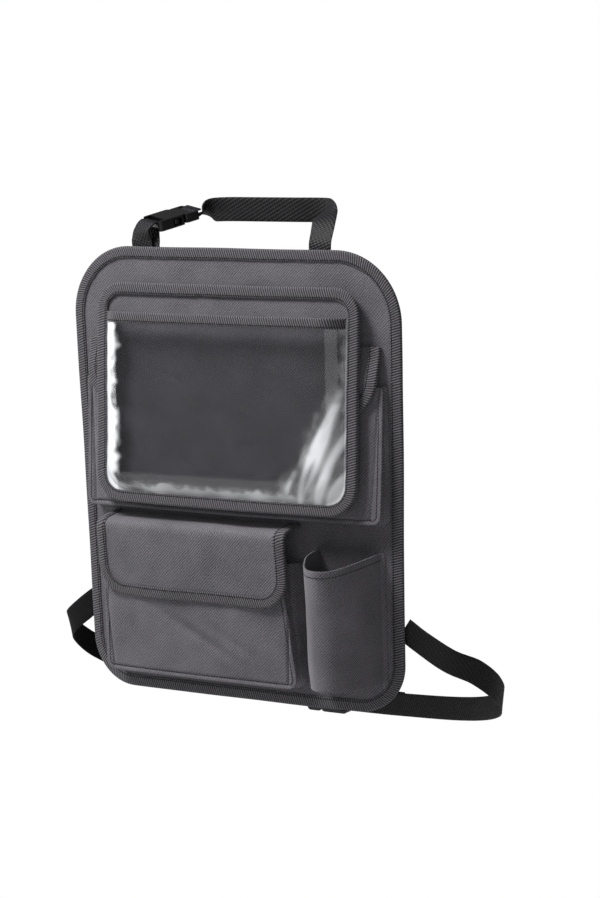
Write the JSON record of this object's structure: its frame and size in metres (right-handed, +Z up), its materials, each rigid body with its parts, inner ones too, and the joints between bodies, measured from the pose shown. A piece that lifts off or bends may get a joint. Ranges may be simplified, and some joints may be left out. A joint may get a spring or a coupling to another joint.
{
  "type": "car seat back organizer",
  "caption": "Cloth panel hung on a car seat's back, with a clear tablet sleeve, flapped pockets, a bottle pocket and buckled webbing straps.",
  "frame": {"origin": "middle of the panel's rear face, which lies on the seat's back", "axes": "+Z up the panel, +Y into the seat, -Y towards the person facing the pockets, +X to that person's right"},
  "size_m": [0.5068, 0.2403, 0.5631],
  "materials": {
    "cloth": "charcoal woven polyester, matt",
    "binding_tape": "ribbed grosgrain tape",
    "webbing": "black woven webbing",
    "elastic": "smooth black elastic",
    "hook_and_loop": "hook and loop pile",
    "buckle_plastic": "moulded black plastic",
    "clear_film": "clear glossy film"
  },
  "bodies": {
    "root": {"back_panel": "cloth", "panel_binding": "binding_tape", "upper_pocket_front": "cloth", "upper_pocket_gusset": "cloth", "upper_pocket_loop_patch": "hook_and_loop", "upper_flap": "cloth", "upper_flap_binding": "binding_tape", "upper_flap_hook_patch": "hook_and_loop", "tablet_sleeve_back": "cloth", "tablet_sleeve_window": "clear_film", "tablet_sleeve_binding": "binding_tape", "tablet_sleeve_mouth_binding": "binding_tape", "lower_pocket_front": "cloth", "lower_pocket_gusset": "cloth", "lower_pocket_loop_patch": "hook_and_loop", "lower_flap": "cloth", "lower_flap_binding": "binding_tape", "lower_flap_hook_patch": "hook_and_loop", "bottle_pocket_wall": "cloth", "bottle_pocket_base": "cloth", "headrest_strap_left": "webbing", "headrest_strap_right": "webbing", "headrest_buckle_socket": "buckle_plastic", "headrest_buckle_plug": "buckle_plastic", "lower_strap_left": "elastic", "lower_strap_right": "webbing", "lower_buckle_socket": "buckle_plastic", "lower_buckle_plug": "buckle_plastic"}
  },
  "joints": []
}
